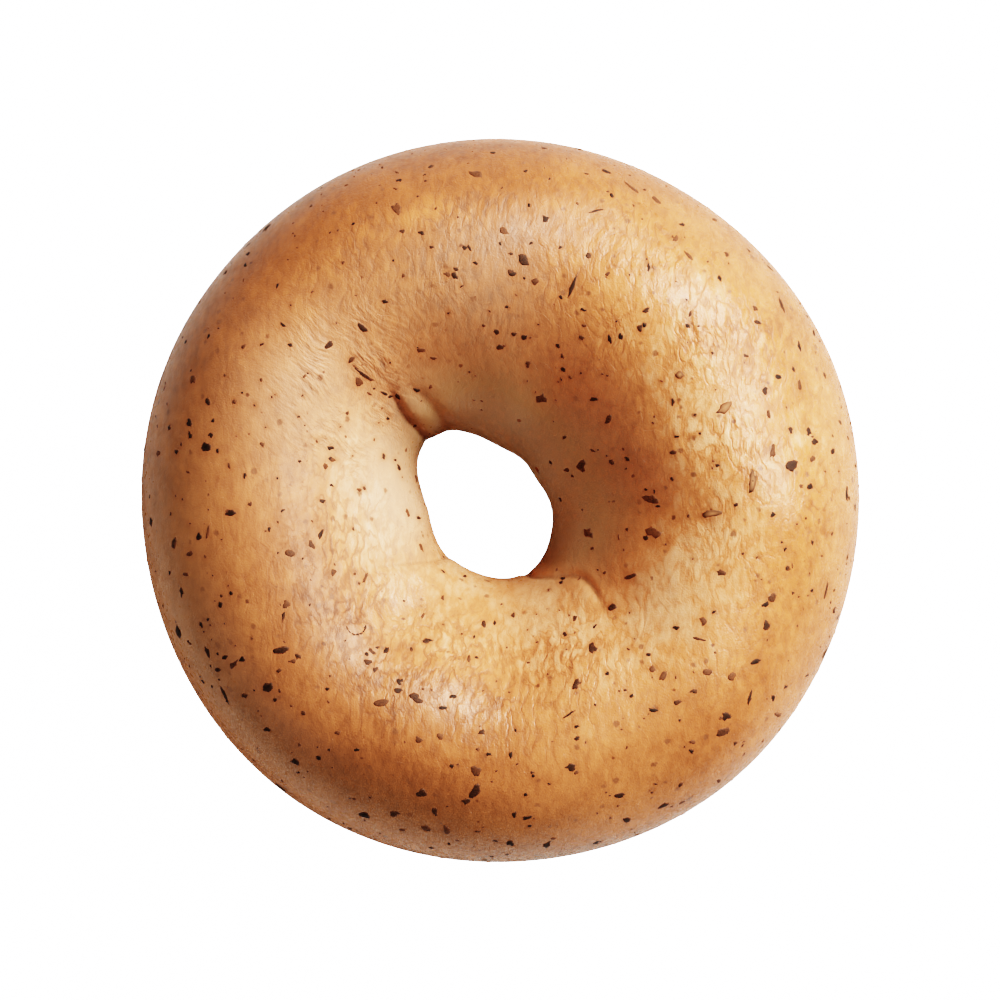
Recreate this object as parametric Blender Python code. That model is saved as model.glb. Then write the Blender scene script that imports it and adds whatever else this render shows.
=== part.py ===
"""A round baked bagel with herb flecks in its crust, as one solid that rests on its flat underside.

+Z is up, and the origin is under the middle of the bagel, on the surface that it rests on. Lengths are in
metres. A direction is an angle round the ring, counter-clockwise from +X as seen from above. A turn is an angle
round the dough's cross-section: 0 is the outermost line, 90 the crest, 180 the wall of the hole and 270 the
underside.
"""

import math

import bmesh
import bpy
import numpy as np
from mathutils import Vector

MM = 0.001

# Driving sizes
DIAMETER = 105 * MM
HEIGHT = 38 * MM
HOLE_RADIUS = 9.8 * MM
FOOT_DEPTH = 2.2 * MM  # how much of the round section the flat foot takes off
FOOT_EDGE = 0.9 * MM  # height over which the foot rounds into the side

# Outlines seen from above, and the crest's height. A lobe is (how many round the ring, size, direction of one).
OUTER_LOBES = ((2, 0.24 * MM, 108), (3, 0.08 * MM, 0), (4, 0.11 * MM, 44), (5, 0.12 * MM, 22))
HOLE_LOBES = (
    (1, 2.66 * MM, 203),
    (2, 1.49 * MM, 129),
    (3, 0.69 * MM, 142),
    (4, 0.41 * MM, 138),
    (5, 0.33 * MM, 141),
)
CREST_LOBES = ((1, 0.5 * MM, 330), (2, 0.35 * MM, 60), (3, 0.2 * MM, 20))

# The cross-section: shares of its width and height, and the powers that round its four quarters
CREST_SHARE = 0.53  # of the way from the hole to the outside
WIDEST_SHARE = 0.46  # height of the outermost line
NARROWEST_SHARE = 0.39  # height of the hole's narrowest line
FUNNEL_HOLLOW = 0.14  # how much the slope into the hole is flattened, from a round side towards a cone
FUNNEL_TURNS = (70, 190)
POWER_OUTER_TOP = 2.02
POWER_INNER_TOP = 2.0
POWER_OUTER_FOOT = 2.35
POWER_INNER_FOOT = 2.25
SECTION_RADIUS = 20.6 * MM  # of a circle about as long round as the section

# The strand's ends overlap here, so the ring is lower and creased
SEAM_DIRECTION = 138.5
SEAM_DIP = 1.1 * MM
SEAM_SPREAD = 15  # degrees round the ring

# Creases in the skin round the hole. A path is (turn, direction) from its start on the slope into the hole.
# The skin stands up by the step on one side: 1 is counter-clockwise of the crease, -1 clockwise.
SEAM = {
    "path": ((127, 134), (139, 135.6), (149, 137.6), (160, 138.8), (190, 141)),
    "depth": 0.6 * MM,
    "half_width": 0.6 * MM,
    "step": 0.35 * MM,
    "side": -1,
}
TONGUE_VALLEY = {
    "path": ((132, 128), (141, 127), (157, 125), (188, 124)),
    "depth": 0.45 * MM,
    "half_width": 1.1 * MM,
    "step": 0.0,
    "side": 1,
}
LOWER_LEFT_CREASE = {
    "path": ((124, 205.5), (134, 208.6), (148, 214), (157, 219), (164, 224), (188, 228)),
    "depth": 0.4 * MM,
    "half_width": 0.8 * MM,
    "step": 0.35 * MM,
    "side": 1,
}
LOWER_RIGHT_CREASE = {
    "path": (
        (121, 313),
        (128, 314),
        (135, 316.2),
        (141, 317.5),
        (146, 317),
        (151, 312),
        (171, 291),
        (190, 289),
    ),
    "depth": 0.5 * MM,
    "half_width": 0.65 * MM,
    "step": 0.3 * MM,
    "side": -1,
}
CREASES = (SEAM, TONGUE_VALLEY, LOWER_LEFT_CREASE, LOWER_RIGHT_CREASE)
CREASE_FADE = 13  # degrees of turn over which a crease starts and ends
CREASE_BEND = 3  # degrees of turn over which its path turns a corner
STEP_REACH = 6 * MM

# The tongue of dough at the seam's edge, just above the hole
TONGUE_TURN = 147
TONGUE_DIRECTION = 132.6
TONGUE_HEIGHT = 0.5 * MM
TONGUE_HALF_LENGTH = 3.2 * MM
TONGUE_HALF_WIDTH = 1.7 * MM

# Slight unevenness all over
WAVES = 14
WAVE_HEIGHT = 0.11 * MM
WAVE_SEED = 11

# The grid of the crust. A stretch of a section is (first turn, last turn, steps), closest on the slope into
# the hole.
STEPS_AROUND = 112
SECTION_STEPS = ((-12, 110, 12), (110, 194, 14), (194, 348, 11))

# The largest herb flecks, by where each shows from above, in mm: X, Y, length and width, then the angle of the
# length from X. They are seen from VIEW_HEIGHT, at real size on the level VIEW_LEVEL.
VIEW_LEVEL = HEIGHT * WIDEST_SHARE
VIEW_HEIGHT = VIEW_LEVEL + 405.6 * MM
LARGE_FLECKS = (
    (-3.6, 47.6, 1.9, 1.2, 0),
    (10.6, 31.4, 3.6, 0.8, 68),
    (6.0, 14.8, 1.7, 1.4, 40),
    (12.0, 5.0, 1.9, 1.4, 65),
    (12.9, -4.7, 1.6, 1.3, 20),
    (26.3, 18.4, 1.6, 1.1, -10),
    (33.0, 13.7, 3.2, 1.3, 30),
    (36.8, 2.8, 3.8, 1.0, 82),
    (31.1, -1.9, 3.1, 1.1, 14),
    (22.3, -4.7, 2.4, 1.5, 0),
    (22.0, 0.3, 2.0, 1.2, -10),
    (40.0, -14.2, 1.3, 1.2, 0),
    (-43.1, 7.9, 1.7, 1.4, 80),
    (-30.7, -7.7, 1.9, 1.1, -10),
    (-32.0, -21.9, 2.6, 1.1, 5),
    (-33.7, -27.2, 1.7, 1.4, 60),
    (-12.3, -28.9, 2.1, 1.1, -20),
    (-3.4, -39.4, 1.9, 1.6, 0),
    (-3.5, -42.3, 2.4, 1.3, 50),
    (-11.4, -42.9, 1.8, 1.4, 0),
    (13.7, -21.6, 2.1, 1.1, -70),
    (23.8, -25.5, 1.6, 1.0, 70),
    (-20.0, 25.2, 2.0, 0.9, -35),
    (-19.9, 18.5, 3.0, 0.5, -32),
)
SPREAD_FLECKS = 34
FLECK_SEED = 5
FLECK_LENGTHS = (1.4 * MM, 2.3 * MM)
FLECK_WIDTH_SHARE = (0.4, 0.8)
FLECK_PROUD = 0.28 * MM
FLECK_SUNK = 0.55 * MM
FLECK_SIDES = 8
FLECK_CLEARANCE = 4.5 * MM  # between the middles of two flecks
FOOT_TURNS = (222, 318)  # no fleck lies on the foot

CRUST_COLOUR = (0.60, 0.33, 0.13, 1.0)
CRUST_ROUGHNESS = 0.42


def lobed(direction, lobes):
    """The sum of a closed outline's lobes at each direction, in radians."""
    return sum(size * np.cos(count * (direction - math.radians(towards))) for count, size, towards in lobes)


def apart(direction, other):
    """The signed angle from other to direction, in radians, by the short way round."""
    return (direction - other + math.pi) % (2 * math.pi) - math.pi


def crest_height(direction):
    dip = np.exp(-((apart(direction, math.radians(SEAM_DIRECTION)) / math.radians(SEAM_SPREAD)) ** 2))
    return HEIGHT + lobed(direction, CREST_LOBES) - SEAM_DIP * dip


def mixed(first, second, share):
    return first + (second - first) * share


def plain_section(direction, turn):
    """(distance from the middle, height) of the section without its foot, creases or unevenness."""
    outside = DIAMETER / 2 + lobed(direction, OUTER_LOBES)
    hole = HOLE_RADIUS + lobed(direction, HOLE_LOBES)
    top = crest_height(direction)
    inward = (1 - np.cos(turn)) / 2
    downward = (1 - np.sin(turn)) / 2
    power = mixed(
        mixed(POWER_OUTER_TOP, POWER_INNER_TOP, inward),
        mixed(POWER_OUTER_FOOT, POWER_INNER_FOOT, inward),
        downward,
    )
    reach = (np.abs(np.cos(turn)) ** power + np.abs(np.sin(turn)) ** power) ** (-1 / power)
    into_funnel = (turn - math.radians(FUNNEL_TURNS[0])) / math.radians(FUNNEL_TURNS[1] - FUNNEL_TURNS[0])
    reach = reach * (1 - FUNNEL_HOLLOW * np.sin(math.pi * np.clip(into_funnel, 0, 1)) ** 3)
    across, up = reach * np.cos(turn), reach * np.sin(turn)
    crest = mixed(hole, outside, CREST_SHARE)
    distance = crest + across * np.where(across > 0, outside - crest, crest - hole)
    level = top * mixed(WIDEST_SHARE, NARROWEST_SHARE, inward)
    height = level + up * np.where(up > 0, top - level, level + FOOT_DEPTH)
    return distance, height


def plain_point(direction, turn):
    distance, height = plain_section(direction, turn)
    return np.stack((distance * np.cos(direction), distance * np.sin(direction), height), axis=-1)


def outward(direction, turn, step=0.002):
    """Unit vectors out of the plain surface."""
    along = plain_point(direction + step, turn) - plain_point(direction - step, turn)
    round_section = plain_point(direction, turn + step) - plain_point(direction, turn - step)
    normal = np.cross(along, round_section)
    return normal / np.linalg.norm(normal, axis=-1, keepdims=True)


def crease_relief(direction, turn, crease):
    """Height added by one crease: a groove, with the skin on one side standing up from it."""
    turns = np.radians([knot[0] for knot in crease["path"]])
    directions = np.radians([knot[1] for knot in crease["path"]])
    bend = math.radians(CREASE_BEND)
    before = np.interp(turn - bend, turns, directions)
    beyond = np.interp(turn + bend, turns, directions)
    distance = plain_section(direction, turn)[0]
    slant = distance * (beyond - before) / (2 * bend) / SECTION_RADIUS
    across = distance * apart(direction, (before + beyond) / 2) / np.sqrt(1 + slant**2)
    fade = math.radians(CREASE_FADE)
    there = np.clip((turn - turns[0]) / fade, 0, 1) * np.clip((turns[-1] - turn) / fade, 0, 1)
    groove = crease["depth"] * np.exp(-((across / crease["half_width"]) ** 2))
    raised = 0.5 + 0.5 * np.tanh(crease["side"] * across / crease["half_width"])
    step = crease["step"] * raised * np.exp(-((across / STEP_REACH) ** 2))
    return there * (step - groove)


def tongue_relief(direction, turn):
    """Height added by the tongue of dough."""
    distance = plain_section(direction, turn)[0]
    across = distance * apart(direction, math.radians(TONGUE_DIRECTION)) / TONGUE_HALF_WIDTH
    along = (turn - math.radians(TONGUE_TURN)) * SECTION_RADIUS / TONGUE_HALF_LENGTH
    return TONGUE_HEIGHT * np.exp(-((across**2 + along**2) ** 1.5))


def uneven_relief(direction, turn):
    """Low waves, which leave the outline and the hole as they are."""
    draw = np.random.RandomState(WAVE_SEED)
    total = np.zeros(np.broadcast(direction, turn).shape)
    for _ in range(WAVES):
        around, section, phase = draw.randint(2, 10), draw.randint(-3, 4), draw.uniform(0, 2 * math.pi)
        total += WAVE_HEIGHT * np.cos(around * direction + section * turn + phase)
    return total * (1 - np.cos(turn) ** 4)


def on_foot(height):
    """Heights with the foot cut flat at zero, and a short round edge above it."""
    edge = (height + FOOT_EDGE) ** 2 / (4 * FOOT_EDGE)
    return np.where(height <= -FOOT_EDGE, 0.0, np.where(height < FOOT_EDGE, edge, height))


def surface_point(direction, turn):
    """The crust's surface, before it is centred."""
    creases = sum(crease_relief(direction, turn, crease) for crease in CREASES)
    relief = creases + tongue_relief(direction, turn) + uneven_relief(direction, turn)
    point = plain_point(direction, turn) + outward(direction, turn) * relief[..., None]
    point[..., 2] = on_foot(point[..., 2])
    return point


def crust_grid():
    """The crust's points, one row for each direction round the ring."""
    directions = np.radians(np.linspace(0, 360, STEPS_AROUND, endpoint=False))
    turns = np.concatenate([np.linspace(*part, endpoint=False) for part in SECTION_STEPS])
    return surface_point(directions[:, None], np.radians(turns)[None, :])


def make_crust():
    """The ring of dough as one mesh object, from faces between neighbouring sections."""
    points = crust_grid()
    around, along = points.shape[:2]
    shape = bmesh.new()
    rows = [[shape.verts.new(point) for point in row] for row in points]
    for i in range(around):
        for j in range(along):
            here, beyond = rows[i], rows[(i + 1) % around]
            shape.faces.new((here[j], beyond[j], beyond[(j + 1) % along], here[(j + 1) % along]))
    bmesh.ops.triangulate(shape, faces=shape.faces)
    mesh = bpy.data.meshes.new("bagel")
    shape.to_mesh(mesh)
    shape.free()
    mesh.shade_smooth()
    bagel = bpy.data.objects.new("bagel", mesh)
    bpy.context.scene.collection.objects.link(bagel)
    return bagel


def seen_distance(direction, turn):
    """How far from the middle a place on the surface shows from above."""
    distance, height = plain_section(direction, turn)
    return distance * (VIEW_HEIGHT - VIEW_LEVEL) / (VIEW_HEIGHT - height)


def turn_at(direction, distance):
    """The turn on the upper side at which the surface shows at this distance from the middle."""
    turns = np.radians(np.linspace(8, 172, 329))
    return float(np.interp(-distance, -seen_distance(direction, turns), turns))


def large_flecks():
    """(direction, turn, length, width, angle to the ring's direction) of each fleck in LARGE_FLECKS."""
    for x, y, length, width, angle in LARGE_FLECKS:
        direction = math.atan2(y, x)
        turn = turn_at(direction, math.hypot(x, y) * MM)
        yield direction, turn, length * MM, width * MM, math.radians(angle) - direction - math.pi / 2


def spread_flecks(taken):
    """Flecks spread evenly over the rest of the crust, clear of those taken and of the foot."""
    draw = np.random.RandomState(FLECK_SEED)
    turns = np.radians(np.arange(0.0, 360.0))
    share = np.cumsum(plain_section(0.0, turns)[0])
    share /= share[-1]
    middles = [surface_point(np.array(direction), np.array(turn)) for direction, turn, *_ in taken]
    step, found = 0, 0
    while found < SPREAD_FLECKS:
        step += 1
        direction = 2 * math.pi * (step * 0.7548777 % 1)
        turn = float(np.interp(step * 0.5698403 % 1, share, turns))
        if math.radians(FOOT_TURNS[0]) < turn < math.radians(FOOT_TURNS[1]):
            continue
        middle = surface_point(np.array(direction), np.array(turn))
        if min(np.linalg.norm(middle - other) for other in middles) < FLECK_CLEARANCE:
            continue
        middles.append(middle)
        found += 1
        length = draw.uniform(*FLECK_LENGTHS)
        yield direction, turn, length, length * draw.uniform(*FLECK_WIDTH_SHARE), draw.uniform(0, math.pi)


def make_fleck(name, direction, turn, length, width, angle, draw):
    """A flat, uneven flake of herb that stands a little out of the crust."""
    middle = Vector(surface_point(np.array(direction), np.array(turn)))
    up = Vector(outward(np.array(direction), np.array(turn)))
    around = Vector((-math.sin(direction), math.cos(direction), 0))
    aside = up.cross(around).normalized()
    around = aside.cross(up)
    lengthwise = around * math.cos(angle) + aside * math.sin(angle)
    crosswise = up.cross(lengthwise)
    shape = bmesh.new()
    rings = []
    for height, share in ((-FLECK_SUNK, 0.9), (FLECK_PROUD * 0.45, 1.0), (FLECK_PROUD, 0.55)):
        ring = []
        for side in range(FLECK_SIDES):
            around_flake = 2 * math.pi * side / FLECK_SIDES
            ring.append((math.cos(around_flake), math.sin(around_flake), height, share))
        rings.append(ring)
    sizes = draw.uniform(0.82, 1.12, FLECK_SIDES)
    verts = [
        [
            shape.verts.new(
                middle
                + lengthwise * (length / 2 * share * size * x)
                + crosswise * (width / 2 * share * size * y)
                + up * height
            )
            for (x, y, height, share), size in zip(ring, sizes)
        ]
        for ring in rings
    ]
    for lower, upper in zip(verts, verts[1:]):
        for side in range(FLECK_SIDES):
            beyond = (side + 1) % FLECK_SIDES
            shape.faces.new((lower[side], lower[beyond], upper[beyond], upper[side]))
    shape.faces.new(verts[-1])
    shape.faces.new(reversed(verts[0]))
    bmesh.ops.triangulate(shape, faces=shape.faces)
    mesh = bpy.data.meshes.new(name)
    shape.to_mesh(mesh)
    shape.free()
    return bpy.data.objects.new(name, mesh)


def fuse_flecks(bagel):
    """Joins the flecks to the crust with one Boolean union, and removes them."""
    flecks = bpy.data.collections.new("flecks")
    bpy.context.scene.collection.children.link(flecks)
    draw = np.random.RandomState(FLECK_SEED)
    places = list(large_flecks())
    places += spread_flecks(places)
    for number, place in enumerate(places):
        flecks.objects.link(make_fleck(f"fleck_{number:02d}", *place, draw))
    union = bagel.modifiers.new("flecks", "BOOLEAN")
    union.operation = "UNION"
    union.operand_type = "COLLECTION"
    union.collection = flecks
    bpy.context.view_layer.objects.active = bagel
    with bpy.context.temp_override(object=bagel, active_object=bagel, selected_objects=[bagel]):
        bpy.ops.object.modifier_apply(modifier=union.name)
    for fleck in list(flecks.objects):
        bpy.data.objects.remove(fleck)
    bpy.data.collections.remove(flecks)


def centre(bagel):
    """Moves the mesh so that its box is centred over the origin and stands on the ground."""
    points = np.array([vertex.co for vertex in bagel.data.vertices])
    low, high = points.min(0), points.max(0)
    for vertex in bagel.data.vertices:
        vertex.co -= Vector(((low[0] + high[0]) / 2, (low[1] + high[1]) / 2, low[2]))


def crust_material():
    material = bpy.data.materials.new("crust")
    material.use_nodes = True
    shader = material.node_tree.nodes["Principled BSDF"]
    shader.inputs["Base Color"].default_value = CRUST_COLOUR
    shader.inputs["Roughness"].default_value = CRUST_ROUGHNESS
    shader.inputs["Metallic"].default_value = 0.0
    return material


def main():
    for thing in list(bpy.data.objects):
        bpy.data.objects.remove(thing)
    bagel = make_crust()
    fuse_flecks(bagel)
    centre(bagel)
    bagel.data.materials.clear()
    bagel.data.materials.append(crust_material())


main()
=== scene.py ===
"""The looks of a round herb bagel: a glossy, finely wrinkled crust with herb flecks in it.

The crust repeats the solid's form on a closer grid and adds the wrinkles of the skin. Lengths are in
metres, +Z is up. A direction is an angle round the ring, counter-clockwise from +X as seen from above.
A turn is an angle round the dough's cross-section: 0 is the outermost line, 90 the crest, 180 the wall
of the hole and 270 the underside.
"""

import math

import bpy
import numpy as np
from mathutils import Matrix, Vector
from mathutils.kdtree import KDTree


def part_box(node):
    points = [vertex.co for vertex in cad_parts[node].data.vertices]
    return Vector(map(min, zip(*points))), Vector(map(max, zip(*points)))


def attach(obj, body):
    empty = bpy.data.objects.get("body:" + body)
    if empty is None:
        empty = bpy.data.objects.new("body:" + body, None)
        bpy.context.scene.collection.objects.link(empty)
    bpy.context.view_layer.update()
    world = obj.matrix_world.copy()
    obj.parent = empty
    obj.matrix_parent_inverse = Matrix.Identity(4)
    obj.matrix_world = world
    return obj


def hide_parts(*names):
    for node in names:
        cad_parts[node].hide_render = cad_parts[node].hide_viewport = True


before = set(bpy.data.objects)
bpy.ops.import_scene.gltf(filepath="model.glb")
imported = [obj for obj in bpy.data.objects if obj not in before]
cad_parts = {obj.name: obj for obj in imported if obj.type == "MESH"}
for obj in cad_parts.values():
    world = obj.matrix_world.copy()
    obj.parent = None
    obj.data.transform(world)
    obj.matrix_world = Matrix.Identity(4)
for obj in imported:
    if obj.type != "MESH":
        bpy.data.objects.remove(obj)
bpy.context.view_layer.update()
SOLID_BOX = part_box("bagel")

MM = 0.001

# The form, as in the solid. A lobe of an outline is (how many go round, size, direction of the first).
DIAMETER = 105 * MM
HEIGHT = 38 * MM
HOLE_RADIUS = 9.8 * MM
FOOT_DEPTH = 2.2 * MM  # how much of the round section the flat foot takes off
FOOT_EDGE = 0.9 * MM  # height over which the foot rounds into the side

OUTER_LOBES = ((2, 0.24 * MM, 108), (3, 0.08 * MM, 0), (4, 0.11 * MM, 44), (5, 0.12 * MM, 22))
HOLE_LOBES = (
    (1, 2.66 * MM, 203),
    (2, 1.49 * MM, 129),
    (3, 0.69 * MM, 142),
    (4, 0.41 * MM, 138),
    (5, 0.33 * MM, 141),
)
CREST_LOBES = ((1, 0.5 * MM, 330), (2, 0.35 * MM, 60), (3, 0.2 * MM, 20))

CREST_SHARE = 0.53  # of the way from the hole to the outside
WIDEST_SHARE = 0.46  # height of the outermost line
NARROWEST_SHARE = 0.39  # height of the hole's narrowest line
FUNNEL_HOLLOW = 0.14  # how much the slope into the hole is flattened towards a cone
FUNNEL_TURNS = (70, 190)
POWER_OUTER_TOP = 2.02
POWER_INNER_TOP = 2.0
POWER_OUTER_FOOT = 2.35
POWER_INNER_FOOT = 2.25
SECTION_RADIUS = 20.6 * MM  # of a circle about as long round as the section

SEAM_DIRECTION = 138.5
SEAM_DIP = 1.1 * MM
SEAM_SPREAD = 15  # degrees round the ring

# Creases in the skin round the hole. A path is (turn, direction) from its start on the slope down into
# the hole. The skin stands up by the step on one side: 1 is counter-clockwise of the crease, -1 clockwise.
SEAM = {
    "path": ((127, 134), (139, 135.6), (149, 137.6), (160, 138.8), (190, 141)),
    "depth": 0.6 * MM,
    "half_width": 0.6 * MM,
    "step": 0.35 * MM,
    "side": -1,
}
TONGUE_VALLEY = {
    "path": ((132, 128), (141, 127), (157, 125), (188, 124)),
    "depth": 0.45 * MM,
    "half_width": 1.1 * MM,
    "step": 0.0,
    "side": 1,
}
LOWER_LEFT_CREASE = {
    "path": ((124, 205.5), (134, 208.6), (148, 214), (157, 219), (164, 224), (188, 228)),
    "depth": 0.4 * MM,
    "half_width": 0.8 * MM,
    "step": 0.35 * MM,
    "side": 1,
}
LOWER_RIGHT_CREASE = {
    "path": (
        (121, 313),
        (128, 314),
        (135, 316.2),
        (141, 317.5),
        (146, 317),
        (151, 312),
        (171, 291),
        (190, 289),
    ),
    "depth": 0.5 * MM,
    "half_width": 0.65 * MM,
    "step": 0.3 * MM,
    "side": -1,
}
CREASES = (SEAM, TONGUE_VALLEY, LOWER_LEFT_CREASE, LOWER_RIGHT_CREASE)
CREASE_FADE = 13  # degrees of turn over which a crease starts and ends
CREASE_BEND = 3  # degrees of turn over which its path turns a corner
STEP_REACH = 6 * MM

TONGUE_TURN = 147
TONGUE_DIRECTION = 132.6
TONGUE_HEIGHT = 0.5 * MM
TONGUE_HALF_LENGTH = 3.2 * MM
TONGUE_HALF_WIDTH = 1.7 * MM

WAVES = 14
WAVE_HEIGHT = 0.11 * MM
WAVE_SEED = 11

# The crust's grid. The section's points are (first turn, last turn, steps), closest on the upper side.
STEPS_AROUND = 600
SECTION_STEPS = ((-12, 194, 120), (194, 348, 38))

NOISE_SEED = 3

# Wrinkles of the skin: pads between narrow valleys, longer along Y than wide, and clearest in patches.
# A patch is (direction, turn, half-widths round the ring and round the section, amount), in degrees.
PUCKER_SIZE = np.array((1.9, 4.6, 3.8)) * MM
PUCKER_HEIGHT = 0.16 * MM
PUCKER_VALLEY = 0.2  # how wide the valleys are, as a value of the noise
FINE_PUCKER = 0.55  # size of the finer wrinkles, as a share of the others'
FINE_PUCKER_HEIGHT = 0.5
PUCKER_PATCHES = (
    (25, 72, 50, 36, 0.75),
    (186, 144, 42, 38, 0.85),
    (104, 64, 12, 8, 0.5),
    (232, 108, 34, 28, 0.45),
    (285, 118, 45, 28, 0.6),
    (110, 90, 30, 30, 0.3),
)
PUCKER_ELSEWHERE = 0.1
PUCKER_LEAST = 0.05
PUCKER_MEAN, PUCKER_SWING, PUCKER_SWING_SIZE = 0.75, 0.9, 9 * MM  # the patches' unevenness

# Wrinkles pulled out from the seam over the crest
PULLED_PATCHES = ((141, 112, 20, 34, 1.0), (160, 130, 18, 26, 0.6))
PULLED_SIZE = (2.8 * MM, 0.85 * MM, 2.2 * MM)
PULLED_MEAN, PULLED_SWING, PULLED_SWING_SIZE = 0.6, 1.8, 6 * MM

BEND = 1.4 * MM  # how far the pattern of wrinkles is pushed aside
BEND_SIZE = 5 * MM

# How brown the crust is, from 0, pale, to 1, dark. Its patches paint light and shade as well as browning:
# darker on the sides turned from the lamps, by the seam, on the tongue and down into the hole, paler where
# the lamps and highlights fall and where the lower left rim catches light.
BROWNING = 0.5
BLOTCHES, BLOTCH_SIZE = 0.16, 16 * MM
MOTTLES, MOTTLE_SIZE = 0.13, 3.5 * MM
BROWN_AND_PAINTED_LIGHT_PATCHES = (
    (58, 145, 62, 26, 0.26),
    (345, 142, 34, 24, 0.26),
    (118, 165, 28, 24, 0.34),
    (131, 148, 9, 16, 0.3),
    (150, 160, 22, 26, 0.14),
    (150, 75, 24, 45, 0.13),
    (92, 80, 28, 45, 0.3),
    (130, 38, 48, 34, 0.2),
    (80, 22, 40, 22, 0.22),
    (248, 52, 62, 24, 0.2),
    (248, 34, 44, 16, -0.22),
    (238, 66, 32, 16, 0.06),
    (240, 90, 36, 16, 0.1),
    (270, 60, 20, 15, 0.1),
    (255, 95, 38, 26, 0.12),
    (192, 105, 42, 20, 0.2),
    (205, 62, 45, 26, 0.06),
    (195, 42, 32, 24, -0.1),
    (320, 40, 18, 25, 0.16),
    (48, 78, 36, 32, -0.2),
    (2, 100, 34, 26, -0.18),
    (30, 125, 22, 14, 0.12),
    (104, 64, 9, 5, -0.2),
    (328, 112, 32, 28, -0.18),
    (318, 168, 34, 20, -0.42),
    (328, 148, 14, 16, 0.12),
    (240, 172, 24, 12, -0.25),
    (270, 140, 20, 18, 0.12),
    (118, 160, 12, 14, 0.12),
    (182, 134, 44, 28, -0.28),
    (285, 138, 45, 28, -0.26),
    (140, 90, 20, 30, -0.08),
    (0, 270, 360, 60, 0.1),
)

# Where the skin is duller and greyer, with painted shade: on the wall of the hole most of all, and on the
# outer side turned from the lamps. Over 1 it is deeper too, as painted shade deep in the hole.
DULL_AND_SHADE_PATCHES = (
    (30, 170, 75, 30, 1.4),
    (100, 162, 32, 40, 1.0),
    (70, 178, 85, 24, 1.3),
    (320, 178, 30, 20, 0.2),
    (333, 150, 20, 20, 0.4),
    (12, 132, 40, 22, 0.3),
    (265, 45, 30, 16, 0.25),
    (322, 172, 18, 14, 0.6),
    (202, 42, 45, 26, 0.55),
)
# Where it is rougher
MATTE_PATCHES = (
    (95, 72, 32, 50, 0.15),
    (160, 80, 40, 50, 0.25),
    (205, 95, 50, 30, 0.2),
    (30, 160, 90, 40, 0.2),
)
# Where it is more golden
RICH_PATCHES = (
    (96, 70, 34, 38, 1.0),
    (138, 72, 26, 50, 0.5),
    (22, 66, 48, 17, 0.65),
)
# Where it is a cooler cream: paler skin, and painted light on the hole's left wall, which faces the lamps
CREAM_AND_LIT_PATCHES = (
    (178, 158, 38, 30, 0.45),
    (152, 104, 20, 36, 0.2),
    (105, 95, 35, 40, 0.15),
)

# Painted shade along the bottom of each crease: how dark it is, and the half-width of the dark line
CREASE_SHADES = (
    (SEAM, 0.35, 0.35 * MM),
    (LOWER_RIGHT_CREASE, 0.5, 0.3 * MM),
    (LOWER_LEFT_CREASE, 0.3, 0.25 * MM),
)

# The largest herb flecks, as they show from above: distance from the middle along X and Y, length and
# width, in mm, and the angle of the length
LARGE_FLECKS = (
    (-3.6, 47.6, 1.9, 1.2, 0),
    (10.6, 31.4, 3.6, 0.8, 68),
    (6.0, 14.8, 1.7, 1.4, 40),
    (12.0, 5.0, 1.9, 1.4, 65),
    (12.9, -4.7, 1.6, 1.3, 20),
    (26.3, 18.4, 1.6, 1.1, -10),
    (33.0, 13.7, 3.2, 1.3, 30),
    (36.8, 2.8, 3.8, 1.0, 82),
    (31.1, -1.9, 3.1, 1.1, 14),
    (22.3, -4.7, 2.4, 1.5, 0),
    (22.0, 0.3, 2.0, 1.2, -10),
    (40.0, -14.2, 1.3, 1.2, 0),
    (-43.1, 7.9, 1.7, 1.4, 80),
    (-30.7, -7.7, 1.9, 1.1, -10),
    (-32.0, -21.9, 2.6, 1.1, 5),
    (-33.7, -27.2, 1.7, 1.4, 60),
    (-12.3, -28.9, 2.1, 1.1, -20),
    (-3.4, -39.4, 1.9, 1.6, 0),
    (-3.5, -42.3, 2.4, 1.3, 50),
    (-11.4, -42.9, 1.8, 1.4, 0),
    (13.7, -21.6, 2.1, 1.1, -70),
    (23.8, -25.5, 1.6, 1.0, 70),
    (-20.0, 25.2, 2.0, 0.9, -35),
    (-19.9, 18.5, 3.0, 0.5, -32),
)
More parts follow.
